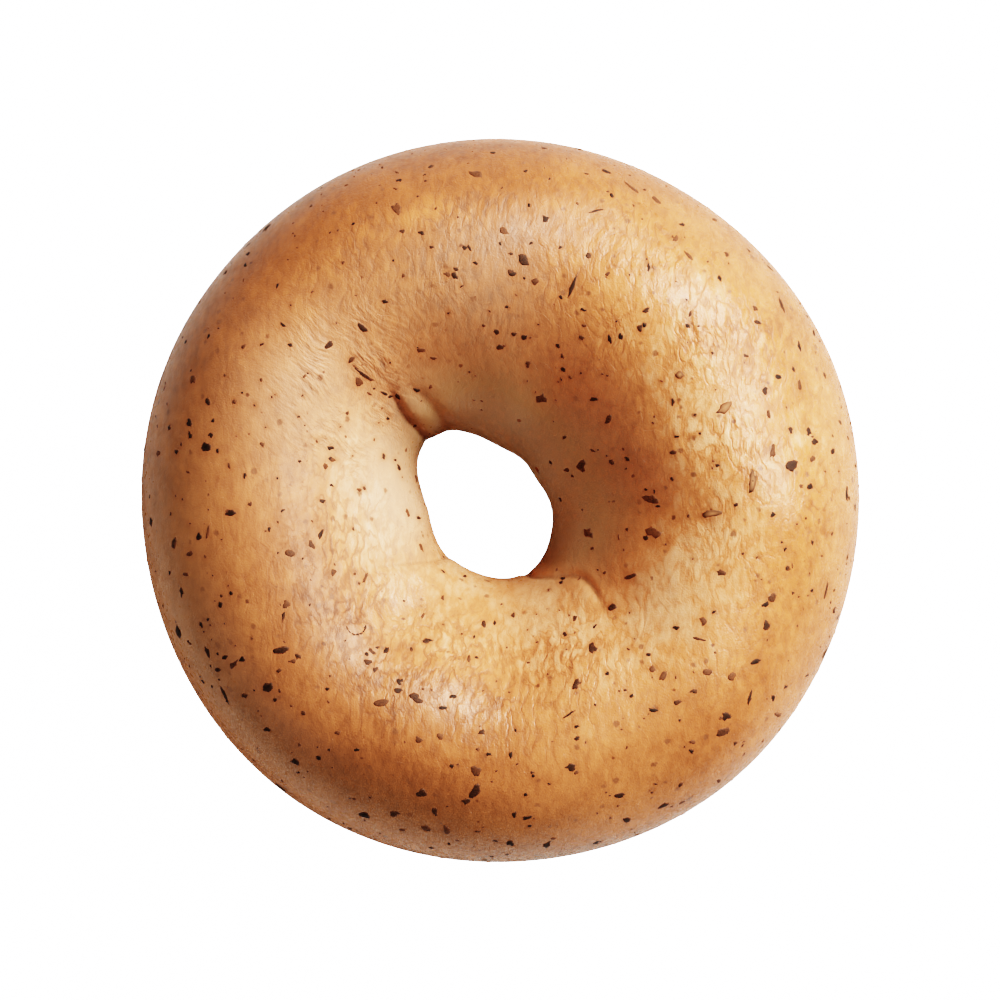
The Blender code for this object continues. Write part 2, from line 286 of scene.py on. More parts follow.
# Smaller flecks in the same way, from the top clockwise
SEEN_FLECKS = (
    (-7.6, 33.1, 1.2, 0.7, 0), (-6.4, 33.8, 0.7, 0.6, 0), (-11.4, 38.9, 1.0, 0.6, 0),
    (-14.1, 39.1, 0.7, 0.6, 0), (1.9, 33.1, 1.2, 0.9, 10), (0.6, 39.4, 1.2, 1.0, 0),
    (-3.5, 34.7, 0.7, 0.5, 0), (-0.4, 24.6, 0.9, 0.8, 0), (2.1, 24.2, 0.9, 0.6, 0),
    (0.0, 22.4, 0.9, 0.8, 0), (4.1, 19.9, 0.9, 0.8, 90), (9.1, 21.0, 0.8, 0.5, 90),
    (12.3, 25.5, 0.7, 0.6, 0), (20.5, 25.2, 1.1, 0.8, 90), (17.7, 24.0, 1.1, 0.6, 80),
    (16.1, 23.6, 1.1, 0.6, 100), (13.6, 14.8, 1.2, 0.6, 10), (19.3, 45.9, 2.2, 0.4, -35),
    (15.6, 48.0, 1.5, 0.4, -25), (14.0, 42.6, 2.2, 0.3, 15), (32.0, 32.4, 1.0, 0.6, -60),
    (27.6, 35.9, 2.0, 0.4, -50), (41.0, 28.6, 2.1, 0.5, -70), (22.9, 44.2, 1.8, 0.5, -35),
    (43.8, 22.4, 1.8, 0.5, -75), (44.0, 16.9, 2.2, 0.5, -80), (15.9, 11.9, 1.4, 1.0, 45),
    (9.8, 4.5, 0.8, 0.7, 0), (18.3, 7.7, 0.5, 0.5, 0), (39.7, 7.2, 1.9, 0.8, 80),
    (25.6, 7.2, 1.1, 0.7, 0), (25.3, 3.2, 0.7, 0.6, 0), (31.9, 5.2, 0.7, 0.6, 0),
    (44.9, 2.1, 1.0, 0.8, 0), (50.5, 1.1, 2.2, 0.4, 88), (39.7, -2.0, 0.9, 0.7, 0),
    (47.8, -13.1, 3.0, 0.3, 80), (39.0, -15.2, 1.1, 0.8, 30), (18.9, -11.0, 1.7, 0.8, 10),
    (15.2, -10.4, 0.6, 0.4, 15), (9.1, -11.2, 1.2, 0.6, -20), (16.2, -15.4, 1.3, 1.0, 20),
    (29.8, -17.6, 1.3, 1.1, 0), (25.7, -18.5, 1.0, 0.6, 0), (39.2, -18.3, 1.4, 1.1, 70),
    (29.1, -20.2, 2.0, 0.4, -15), (21.6, -22.4, 0.7, 0.6, 0), (9.7, -19.8, 0.8, 0.7, 0),
    (37.4, -23.6, 1.7, 0.7, 30), (30.4, -25.0, 1.3, 1.0, 0), (33.9, -25.6, 1.3, 1.1, 0),
    (28.4, -27.8, 1.3, 0.7, 10), (36.4, -28.5, 2.2, 0.4, 70), (39.9, -28.7, 1.1, 0.6, 70),
    (26.0, -29.4, 1.3, 0.8, 0), (22.4, -30.6, 1.3, 0.7, -10), (32.9, -31.3, 1.3, 1.1, 0),
    (40.6, -31.2, 1.0, 0.7, 0), (10.1, -31.3, 1.9, 0.4, 30), (11.3, -34.7, 0.9, 0.6, 0),
    (28.2, -35.2, 0.9, 0.7, 0), (10.4, -38.9, 1.6, 1.1, 0), (31.9, -40.8, 0.9, 0.5, 40),
    (17.8, -43.3, 1.6, 0.7, 5), (24.1, -44.7, 1.9, 0.6, 30), (18.7, -46.9, 1.3, 0.8, 15),
    (4.0, -46.0, 1.5, 0.6, 10), (1.6, -49.7, 1.2, 0.8, 0), (6.9, -50.1, 1.7, 0.8, 45),
    (-4.9, -43.9, 1.2, 1.0, 0), (-9.5, -45.5, 1.3, 0.7, 100), (-10.8, -47.9, 1.4, 0.8, -20),
    (-15.4, -46.0, 1.4, 0.9, 0), (-19.8, -46.2, 1.7, 0.9, -15), (-3.2, -36.3, 0.7, 0.5, 0),
    (-1.6, -37.0, 0.8, 0.6, 0), (-8.3, -30.3, 1.2, 0.7, 0), (-4.5, -23.1, 1.1, 0.5, 75),
    (-2.3, -17.9, 1.1, 0.7, 90), (-0.7, -17.7, 0.7, 0.5, 90), (-5.2, -11.2, 0.7, 0.4, 0),
    (-11.2, -16.7, 0.8, 0.5, 50), (-16.5, -21.7, 1.2, 0.8, 70), (-18.2, -24.6, 1.1, 0.6, 70),
    (-20.8, -36.3, 0.7, 0.6, 0), (-23.6, -33.8, 0.9, 0.7, 0), (-26.4, -37.4, 0.9, 0.7, 0),
    (-29.8, -38.0, 1.3, 0.9, 150), (-28.6, -30.9, 0.9, 0.6, 0), (-33.8, -33.3, 0.9, 0.7, 0),
    (-32.7, -29.0, 0.7, 0.6, 0), (-37.1, -28.4, 1.0, 0.7, 0), (-40.1, -28.2, 2.8, 0.4, 115),
    (-41.1, -24.6, 0.9, 0.8, 0), (-40.0, -22.8, 0.9, 0.7, 0), (-37.5, -23.1, 1.0, 0.8, 0),
    (-42.5, -22.0, 1.7, 0.6, 110), (-30.2, -23.4, 1.3, 0.7, 10), (-46.8, -19.2, 2.0, 0.8, 100),
    (-31.6, -16.9, 1.3, 0.5, 80), (-40.6, -15.1, 1.0, 0.6, 90), (-46.3, -13.3, 1.5, 0.6, 95),
    (-19.7, -11.3, 1.4, 0.5, 80), (-45.2, -7.7, 1.1, 0.8, 30), (-47.6, -6.3, 2.1, 0.6, 88),
    (-27.6, -6.5, 1.3, 0.9, 120), (-42.7, -4.6, 1.9, 0.5, 80), (-39.4, -1.8, 1.7, 0.8, 0),
    (-11.5, -6.9, 1.2, 0.5, 120), (-11.8, -2.5, 0.6, 0.5, 0), (-13.4, -1.7, 1.4, 0.5, 100),
    (-24.4, 2.3, 0.7, 0.5, 0), (-37.3, 3.7, 0.7, 0.5, 90), (-39.7, 5.1, 0.9, 0.5, 90),
    (-14.7, 4.9, 0.9, 0.5, 90), (-24.4, 6.1, 0.7, 0.6, 0), (-24.5, 7.7, 1.0, 0.7, 0),
    (-45.4, 9.6, 1.0, 0.6, 85), (-45.5, 11.5, 1.1, 0.7, 85), (-38.8, 14.5, 0.8, 0.7, 0),
    (-42.7, 14.5, 1.0, 0.8, 90),
)

# Slits and crumbs in the torn skin above the seam, in the same way. They are drawn as dark flakes, and the
# slits' dark is painted shade in their openings.
SEAM_CRUMBS = (
    (-21.2, 19.7, 1.2, 0.35, -35), (-19.0, 17.9, 1.5, 0.4, -30), (-20.7, 17.5, 1.6, 1.0, -50),
    (-19.1, 15.7, 0.9, 0.4, -50), (-16.9, 15.7, 1.1, 0.5, -30), (-15.9, 15.2, 0.8, 0.5, 10),
    (-14.9, 15.3, 0.9, 0.6, -60), (-16.3, 12.0, 0.7, 0.4, -50), (-12.2, 10.7, 0.6, 0.5, 30),
)
# A fine curved crack, drawn as dark slits that paint the shade in it: X, Y and radius of the curve, its
# first and last angle, and how many slits make it
SMILE = (-20.8, -18.0, 1.4, 200, 350, 7)
SMILE_SLIT = (0.7, 0.3)

# Large flecks spread over the rest of the crust
SPREAD_FLECKS = 34
FLECK_SEED = 5
FLECK_LENGTHS = (1.4 * MM, 2.3 * MM)
FLECK_WIDTH_SHARE = (0.4, 0.8)
FLECK_CLEARANCE = 4.5 * MM
FOOT_TURNS = (222, 318)
SPREAD_STEPS = (0.7548777, 0.5698403)  # shares of a square's sides whose multiples fill it evenly

# Finer flecks over the whole crust
FINE_FLECKS = 1200
FINE_SEED = 23
FINE_LENGTHS = (0.3 * MM, 1.2 * MM)
FINE_SKEW = 1.4  # over 1 makes more of them small
FINE_WIDTH_SHARE = (0.4, 0.95)

# A flake's outline is a mean radius, two waves and a ragged part, as shares of the fleck's half-size.
FLAKE_SIDES = 10
FLAKE_RADIUS = 0.95
FLAKE_WAVE = 0.1
FLAKE_RAGGED = 0.3
FLAKE_PHASES = 6.3  # the waves start anywhere from 0 to this angle, in radians
FLAKE_PROUD = (0.035 * MM, 0.07 * MM)
# Its rings, from the rim in: share of the radius, share of the height, how deep it is sunk in the crust,
# how brown it is as a rim, and how pale it is in an outlined fleck
FLAKE_RINGS = (
    (0.95, 0.0, 0.15 * MM, 1.0, 0.0),
    (1.0, 0.1, 0.0, 1.0, 0.0),
    (0.7, 1.0, 0.0, 0.25, 0.3),
    (0.0, 1.0, 0.0, 0.0, 1.0),
)
LEAST_SHOWN = 0.3  # the least share of a steep flake that counts as showing, so that it is not drawn out
# Flecks that are dark at the edge and as pale as the crust inside
OUTLINED_FLECKS = ((33.0, 13.7), (36.8, 2.8), (31.1, -1.9), (26.3, 18.4))

STAIN_REACH = 0.35 * MM  # beyond the fleck
STAIN_STRENGTHS = (0.3, 1)

# The view, straight down
VIEW_LEVEL = HEIGHT * WIDEST_SHARE
VIEW_HEIGHT = VIEW_LEVEL + 405.6 * MM
VIEW_WIDTH = 146 * MM  # at the level of the outline
SENSOR = 36
LENS = SENSOR * (VIEW_HEIGHT - VIEW_LEVEL) / VIEW_WIDTH


def lobed(direction, lobes):
    """The sum of a closed outline's lobes at each direction, in radians."""
    return sum(
        size * np.cos(count * (direction - math.radians(towards))) for count, size, towards in lobes
    )


def apart(direction, other):
    """The signed angle from other to direction, in radians, by the short way round."""
    return (direction - other + math.pi) % (2 * math.pi) - math.pi


def crest_height(direction):
    dip = np.exp(-((apart(direction, math.radians(SEAM_DIRECTION)) / math.radians(SEAM_SPREAD)) ** 2))
    return HEIGHT + lobed(direction, CREST_LOBES) - SEAM_DIP * dip


def mixed(first, second, share):
    return first + (second - first) * share


def plain_section(direction, turn):
    """(distance from the middle, height) of the section without its foot, creases or unevenness."""
    outside = DIAMETER / 2 + lobed(direction, OUTER_LOBES)
    hole = HOLE_RADIUS + lobed(direction, HOLE_LOBES)
    top = crest_height(direction)
    inward = (1 - np.cos(turn)) / 2
    downward = (1 - np.sin(turn)) / 2
    power = mixed(
        mixed(POWER_OUTER_TOP, POWER_INNER_TOP, inward),
        mixed(POWER_OUTER_FOOT, POWER_INNER_FOOT, inward),
        downward,
    )
    reach = (np.abs(np.cos(turn)) ** power + np.abs(np.sin(turn)) ** power) ** (-1 / power)
    into_funnel = (turn - math.radians(FUNNEL_TURNS[0])) / math.radians(FUNNEL_TURNS[1] - FUNNEL_TURNS[0])
    reach = reach * (1 - FUNNEL_HOLLOW * np.sin(math.pi * np.clip(into_funnel, 0, 1)) ** 3)
    across, up = reach * np.cos(turn), reach * np.sin(turn)
    crest = mixed(hole, outside, CREST_SHARE)
    distance = crest + across * np.where(across > 0, outside - crest, crest - hole)
    level = top * mixed(WIDEST_SHARE, NARROWEST_SHARE, inward)
    height = level + up * np.where(up > 0, top - level, level + FOOT_DEPTH)
    return distance, height


def plain_point(direction, turn):
    distance, height = plain_section(direction, turn)
    return np.stack((distance * np.cos(direction), distance * np.sin(direction), height), axis=-1)


def outward(direction, turn, step=0.002):
    """Unit vectors out of the plain surface."""
    along = plain_point(direction + step, turn) - plain_point(direction - step, turn)
    round_section = plain_point(direction, turn + step) - plain_point(direction, turn - step)
    normal = np.cross(along, round_section)
    return normal / np.linalg.norm(normal, axis=-1, keepdims=True)


def crease_place(direction, turn, crease):
    """(how far a crease is there, from 0 at its ends to 1; the distance across it) at each place."""
    turns = np.radians([knot[0] for knot in crease["path"]])
    directions = np.radians([knot[1] for knot in crease["path"]])
    bend = math.radians(CREASE_BEND)
    before = np.interp(turn - bend, turns, directions)
    beyond = np.interp(turn + bend, turns, directions)
    distance = plain_section(direction, turn)[0]
    slant = distance * (beyond - before) / (2 * bend) / SECTION_RADIUS
    across = distance * apart(direction, (before + beyond) / 2) / np.sqrt(1 + slant**2)
    fade = math.radians(CREASE_FADE)
    there = np.clip((turn - turns[0]) / fade, 0, 1) * np.clip((turns[-1] - turn) / fade, 0, 1)
    return there, across


def crease_relief(direction, turn, crease):
    """Height added by one crease: a groove, with the skin on one side standing up from it."""
    there, across = crease_place(direction, turn, crease)
    groove = crease["depth"] * np.exp(-((across / crease["half_width"]) ** 2))
    raised = 0.5 + 0.5 * np.tanh(crease["side"] * across / crease["half_width"])
    step = crease["step"] * raised * np.exp(-((across / STEP_REACH) ** 2))
    return there * (step - groove)


def tongue_relief(direction, turn):
    distance = plain_section(direction, turn)[0]
    across = distance * apart(direction, math.radians(TONGUE_DIRECTION)) / TONGUE_HALF_WIDTH
    along = (turn - math.radians(TONGUE_TURN)) * SECTION_RADIUS / TONGUE_HALF_LENGTH
    return TONGUE_HEIGHT * np.exp(-((across**2 + along**2) ** 1.5))


def uneven_relief(direction, turn):
    """Low waves, which leave the outline and the hole as they are."""
    draw = np.random.RandomState(WAVE_SEED)
    total = np.zeros(np.broadcast(direction, turn).shape)
    for _ in range(WAVES):
        around, section, phase = draw.randint(2, 10), draw.randint(-3, 4), draw.uniform(0, 2 * math.pi)
        total += WAVE_HEIGHT * np.cos(around * direction + section * turn + phase)
    return total * (1 - np.cos(turn) ** 4)


def on_foot(height):
    """Heights with the foot cut flat at zero, and a short round edge above it."""
    edge = (height + FOOT_EDGE) ** 2 / (4 * FOOT_EDGE)
    return np.where(height <= -FOOT_EDGE, 0.0, np.where(height < FOOT_EDGE, edge, height))


def surface_point(direction, turn):
    """The crust's surface, before it is centred."""
    creases = sum(crease_relief(direction, turn, crease) for crease in CREASES)
    relief = creases + tongue_relief(direction, turn) + uneven_relief(direction, turn)
    point = plain_point(direction, turn) + outward(direction, turn) * relief[..., None]
    point[..., 2] = on_foot(point[..., 2])
    return point


def noise(points, seed):
    """Smooth gradient noise between about -0.7 and 0.7, with a cell of 1."""
    draw = np.random.RandomState(seed)
    order = np.concatenate([draw.permutation(256)] * 2)
    slopes = draw.normal(size=(256, 3))
    slopes /= np.linalg.norm(slopes, axis=1, keepdims=True)
    cell = np.floor(points).astype(int)
    inside = points - cell
    ease = inside**3 * (inside * (inside * 6 - 15) + 10)
    total = np.zeros(points.shape[:-1])
    for corner in np.ndindex(2, 2, 2):
        x, y, z = np.moveaxis((cell + corner) & 255, -1, 0)
        slope = slopes[order[order[order[x] + y] + z]]
        share = np.prod(np.where(corner, ease, 1 - ease), axis=-1)
        total += share * np.sum(slope * (inside - corner), axis=-1)
    return total


def patched(direction, turn, patches):
    """The sum of soft-edged patches on the crust at each place."""
    total = np.zeros(np.broadcast(direction, turn).shape)
    for towards, middle, around, along, amount in patches:
        across = apart(direction, math.radians(towards)) / math.radians(around)
        down = apart(turn, math.radians(middle)) / math.radians(along)
        total += amount * np.exp(-(across**2) - down**2)
    return total


def rough_noise(points, size, octaves, seed):
    """Noise of several sizes, each half as large and half as strong as the one before."""
    return sum(noise(points / size * 2**k + 5 * k, seed + k) / 2**k for k in range(octaves))


def bend(points):
    """How far the wrinkles' pattern is pushed aside at each point."""
    return BEND * np.stack([noise(points / BEND_SIZE, NOISE_SEED + k) for k in range(3)], axis=-1)


def puckered(direction, turn, points):
    """How strongly the skin is wrinkled, from 0 to 1."""
    swing = PUCKER_MEAN + PUCKER_SWING * rough_noise(points, PUCKER_SWING_SIZE, 2, NOISE_SEED + 5)
    share = patched(direction, turn, PUCKER_PATCHES) * swing
    return np.clip(PUCKER_ELSEWHERE + share, PUCKER_LEAST, 1)


def pucker_relief(direction, turn, points):
    """Height of the skin's wrinkles: flat pads between narrow valleys."""
    bent = points + bend(points)
    wide = np.abs(noise(bent / PUCKER_SIZE, NOISE_SEED + 3))
    fine = np.abs(noise(bent / (PUCKER_SIZE * FINE_PUCKER) + 7, NOISE_SEED + 4))
    fine_pads = FINE_PUCKER_HEIGHT * np.minimum(fine / PUCKER_VALLEY, 1)
    pads = np.minimum(wide / PUCKER_VALLEY, 1) + fine_pads - 1
    above_foot = np.clip(points[..., 2] / (2 * MM), 0, 1)
    return PUCKER_HEIGHT * puckered(direction, turn, points) * above_foot * pads


def crust_point(direction, turn):
    """The crust's finished surface, with its wrinkles, before it is centred."""
    points = surface_point(direction, turn)
    return points + outward(direction, turn) * pucker_relief(direction, turn, points)[..., None]


def middle_of_crust():
    """How far the crust's box is from the solid's."""
    directions, turns = np.radians(np.arange(0, 360, 2.0)), np.radians(np.arange(0, 360, 5.0))
    points = surface_point(directions[:, None], turns[None, :]).reshape(-1, 3)
    low, high = SOLID_BOX
    middle = (points.min(0) + points.max(0)) / 2
    return np.array(((low[0] + high[0]) / 2 - middle[0], (low[1] + high[1]) / 2 - middle[1], 0.0))


SHIFT = middle_of_crust()


def add_mesh(name, points, faces, smooth=True):
    mesh = bpy.data.meshes.new(name)
    mesh.from_pydata(points.tolist(), [], faces)
    if smooth:
        mesh.shade_smooth()
    thing = bpy.data.objects.new(name, mesh)
    bpy.context.scene.collection.objects.link(thing)
    return thing


def set_attribute(thing, name, values, kind="FLOAT"):
    attribute = thing.data.attributes.new(name, kind, "POINT")
    field = "vector" if kind == "FLOAT_VECTOR" else "value"
    attribute.data.foreach_set(field, np.asarray(values, dtype=np.float32).ravel())


def set_uv(thing, corners):
    layer = thing.data.uv_layers.new(name="OFBake")
    layer.data.foreach_set("uv", np.asarray(corners, dtype=np.float32).ravel())


def make_crust():
    """The crust's closed skin, with the patches of its looks as attributes."""
    directions = np.radians(np.linspace(0, 360, STEPS_AROUND, endpoint=False))[:, None]
    turns = np.concatenate([np.linspace(*part, endpoint=False) for part in SECTION_STEPS])
    turns = np.radians(turns)[None, :]
    points = crust_point(directions, turns) + SHIFT
    around, along = points.shape[:2]
    number = np.arange(around * along).reshape(around, along)
    beyond = np.roll(number, -1, axis=0)
    next_along = np.roll(beyond, -1, axis=1), np.roll(number, -1, axis=1)
    faces = np.stack((number, beyond, *next_along), axis=-1)
    crust = add_mesh("crust", points.reshape(-1, 3), faces.reshape(-1, 4).tolist())
    step = np.stack(np.meshgrid(np.arange(around), np.arange(along), indexing="ij"), axis=-1)
    square = np.array(((0, 0), (1, 0), (1, 1), (0, 1)))
    corners = (step[:, :, None, :] + square) / (around, along)
    set_uv(crust, corners)
    # The browning takes painted light and shade from its patches
    browning_with_painted_light = BROWNING + patched(directions, turns, BROWN_AND_PAINTED_LIGHT_PATCHES)
    browning_with_painted_light += BLOTCHES * rough_noise(points, BLOTCH_SIZE, 4, NOISE_SEED + 7)
    browning_with_painted_light += MOTTLES * rough_noise(points, MOTTLE_SIZE, 2, NOISE_SEED + 11)
    set_attribute(crust, "browning_with_painted_light", browning_with_painted_light)
    for name, patches, most in (
        ("dull_and_shade", DULL_AND_SHADE_PATCHES, 2),
        ("matte", MATTE_PATCHES, 0.5),
        ("rich", RICH_PATCHES, 1),
        ("cream_and_painted_light", CREAM_AND_LIT_PATCHES, 1),
    ):
        set_attribute(crust, name, np.clip(patched(directions, turns, patches), 0, most))
    set_attribute(crust, "puckered", puckered(directions, turns, points))
    set_attribute(crust, "bend", bend(points), "FLOAT_VECTOR")
    swing = PULLED_MEAN + PULLED_SWING * noise(points / PULLED_SWING_SIZE, NOISE_SEED + 13)
    set_attribute(crust, "pulled", np.clip(patched(directions, turns, PULLED_PATCHES) * swing, 0, 1))
    # Painted shade along the bottoms of the creases
    crease_shades = 0
    for crease, strength, width in CREASE_SHADES:
        there, across = crease_place(directions, turns, crease)
        crease_shades = crease_shades + strength * there * np.exp(-((across / width) ** 2))
    set_attribute(crust, "crease_shade", crease_shades)
    return crust


def seen_distance(direction, turn):
    """How far from the middle a place on the surface shows from above, measured at the outline's level."""
    distance, height = plain_section(direction, turn)
    return distance * (VIEW_HEIGHT - VIEW_LEVEL) / (VIEW_HEIGHT - height)


def turn_at(direction, distance):
    """The turn on the upper side at which the surface shows at this distance from the middle."""
    turns = np.radians(np.linspace(8, 172, 329))
    return float(np.interp(-distance, -seen_distance(direction, turns), turns))


def seen_flecks(flecks):
    """(direction, turn, length, width, angle to the ring's direction) of flecks placed as they show."""
    for x, y, length, width, angle in flecks:
        direction = math.atan2(y, x)
        turn = turn_at(direction, math.hypot(x, y) * MM)
        yield direction, turn, length * MM, width * MM, math.radians(angle) - direction - math.pi / 2


def even_turns():
    """(share, turns) by which an even draw from 0 to 1 is spread evenly over the crust's area."""
    turns = np.radians(np.arange(0.0, 360.0))
    share = np.cumsum(plain_section(0.0, turns)[0])
    return share / share[-1], turns


def spread_flecks(taken):
    """Flecks spread evenly over the rest of the crust, clear of those taken and of the foot."""
    draw = np.random.RandomState(FLECK_SEED)
    share, turns = even_turns()
    middles = [surface_point(np.array(direction), np.array(turn)) for direction, turn, *_ in taken]
    step, found = 0, 0
    while found < SPREAD_FLECKS:
        step += 1
        direction = 2 * math.pi * (step * SPREAD_STEPS[0] % 1)
        turn = float(np.interp(step * SPREAD_STEPS[1] % 1, share, turns))
        if math.radians(FOOT_TURNS[0]) < turn < math.radians(FOOT_TURNS[1]):
            continue
        middle = surface_point(np.array(direction), np.array(turn))
        if min(np.linalg.norm(middle - other) for other in middles) < FLECK_CLEARANCE:
            continue
        middles.append(middle)
        found += 1
        length = draw.uniform(*FLECK_LENGTHS)
        yield direction, turn, length, length * draw.uniform(*FLECK_WIDTH_SHARE), draw.uniform(0, math.pi)


def fine_flecks():
    """Small flecks at random all over, more of them small than large."""
    draw = np.random.RandomState(FINE_SEED)
    share, turns = even_turns()
    shortest, longest = FINE_LENGTHS
    for _ in range(FINE_FLECKS):
        direction = draw.uniform(0, 2 * math.pi)
        turn = float(np.interp(draw.uniform(), share, turns))
        length = shortest * (longest / shortest) ** (draw.uniform() ** FINE_SKEW)
        yield direction, turn, length, length * draw.uniform(*FINE_WIDTH_SHARE), draw.uniform(0, math.pi)


def smile():
    """The curved crack as a row of short slits, dark flakes that stand for the shade in it."""
    x, y, radius, first, last, slits = SMILE
    for angle in np.linspace(first, last, slits):
        a = math.radians(angle)
        yield x + radius * math.cos(a), y + radius * math.sin(a), *SMILE_SLIT, angle + 90


def make_flecks(name, places, seen, seed):
    """Thin uneven flakes that follow the crust, in one mesh.

    The first ones, as many as seen, have the size and angle that shows from above. The others are sized on
    the crust.
    """
    draw = np.random.RandomState(seed)
    count = len(places)
    direction, turn, length, width, angle = np.array(places).T[..., None]
    step = 0.002
    across_step = plain_point(direction + step, turn) - plain_point(direction - step, turn)
    around_size = np.linalg.norm(across_step, axis=-1)
    down_step = plain_point(direction, turn + step) - plain_point(direction, turn - step)
    along_size = np.linalg.norm(down_step, axis=-1)
    shown = np.abs(seen_distance(direction, turn + step) - seen_distance(direction, turn - step))
    along_size[:seen] = np.maximum(shown, along_size * LEAST_SHOWN)[:seen]
    side = np.linspace(0, 2 * math.pi, FLAKE_SIDES, endpoint=False)
    waves = (FLAKE_WAVE * np.cos(k * side + draw.uniform(0, FLAKE_PHASES, (count, 1))) for k in (2, 3))
    size = FLAKE_RADIUS + sum(waves) + draw.uniform(-FLAKE_RAGGED, FLAKE_RAGGED, (count, FLAKE_SIDES))
    proud = draw.uniform(*FLAKE_PROUD, (count, 1, 1))
    rings = []
    for share, rise, sunk, *_ in FLAKE_RINGS:
        lengthwise = np.cos(side) * size * share * length / 2
        crosswise = np.sin(side) * size * share * width / 2
        around = lengthwise * np.cos(angle) - crosswise * np.sin(angle)
        along = lengthwise * np.sin(angle) + crosswise * np.cos(angle)
        there = direction + around * 2 * step / around_size, turn + along * 2 * step / along_size
        rings.append(crust_point(*there) + outward(*there) * (rise * proud - sunk))
    rings[-1] = rings[-1][:, :1]
    points = np.concatenate(rings, axis=1) + SHIFT
    points[..., 2] = np.maximum(points[..., 2], 0)
    per_flake = points.shape[1]
    faces = []
    for flake in range(count):
        first = flake * per_flake
        middle = first + 3 * FLAKE_SIDES
        for ring in range(3):
            start = first + ring * FLAKE_SIDES
            for k in range(FLAKE_SIDES):
                a, b = start + k, start + (k + 1) % FLAKE_SIDES
                faces.append((a, b, b + FLAKE_SIDES, a + FLAKE_SIDES) if ring < 2 else (a, b, middle))
    flecks = add_mesh(name, points.reshape(-1, 3), faces)
    set_attribute(flecks, "shade", np.repeat(draw.uniform(0, 1, count), per_flake))
    points_in_ring = (FLAKE_SIDES, FLAKE_SIDES, FLAKE_SIDES, 1)
    *_, brown, pale = zip(*FLAKE_RINGS)
    set_attribute(flecks, "rim", np.tile(np.repeat(brown, points_in_ring), count))
    marked = [math.atan2(y, x) for x, y in OUTLINED_FLECKS]
    outlined = [min(abs(apart(towards, other)) for other in marked) < 1e-6 for towards in direction[:, 0]]
    set_attribute(flecks, "paler", np.outer(outlined, np.repeat(pale, points_in_ring)))
    return flecks


def add_stains(crust, places):
    """The browner halo that each fleck leaves in the crust."""
    tree = KDTree(len(crust.data.vertices))
    for vertex in crust.data.vertices:
        tree.insert(vertex.co, vertex.index)
    tree.balance()
    draw = np.random.RandomState(FINE_SEED)
    stain = np.zeros(len(crust.data.vertices))
    for direction, turn, length, *_ in places:
        middle = Vector(surface_point(np.array(direction), np.array(turn)) + SHIFT)
        reach, strength = length / 2 + STAIN_REACH, draw.uniform(*STAIN_STRENGTHS)
        for _, number, distance in tree.find_range(middle, reach * 2):
            stain[number] = max(stain[number], strength * math.exp(-((distance / reach) ** 2)))
    set_attribute(crust, "stain", stain)


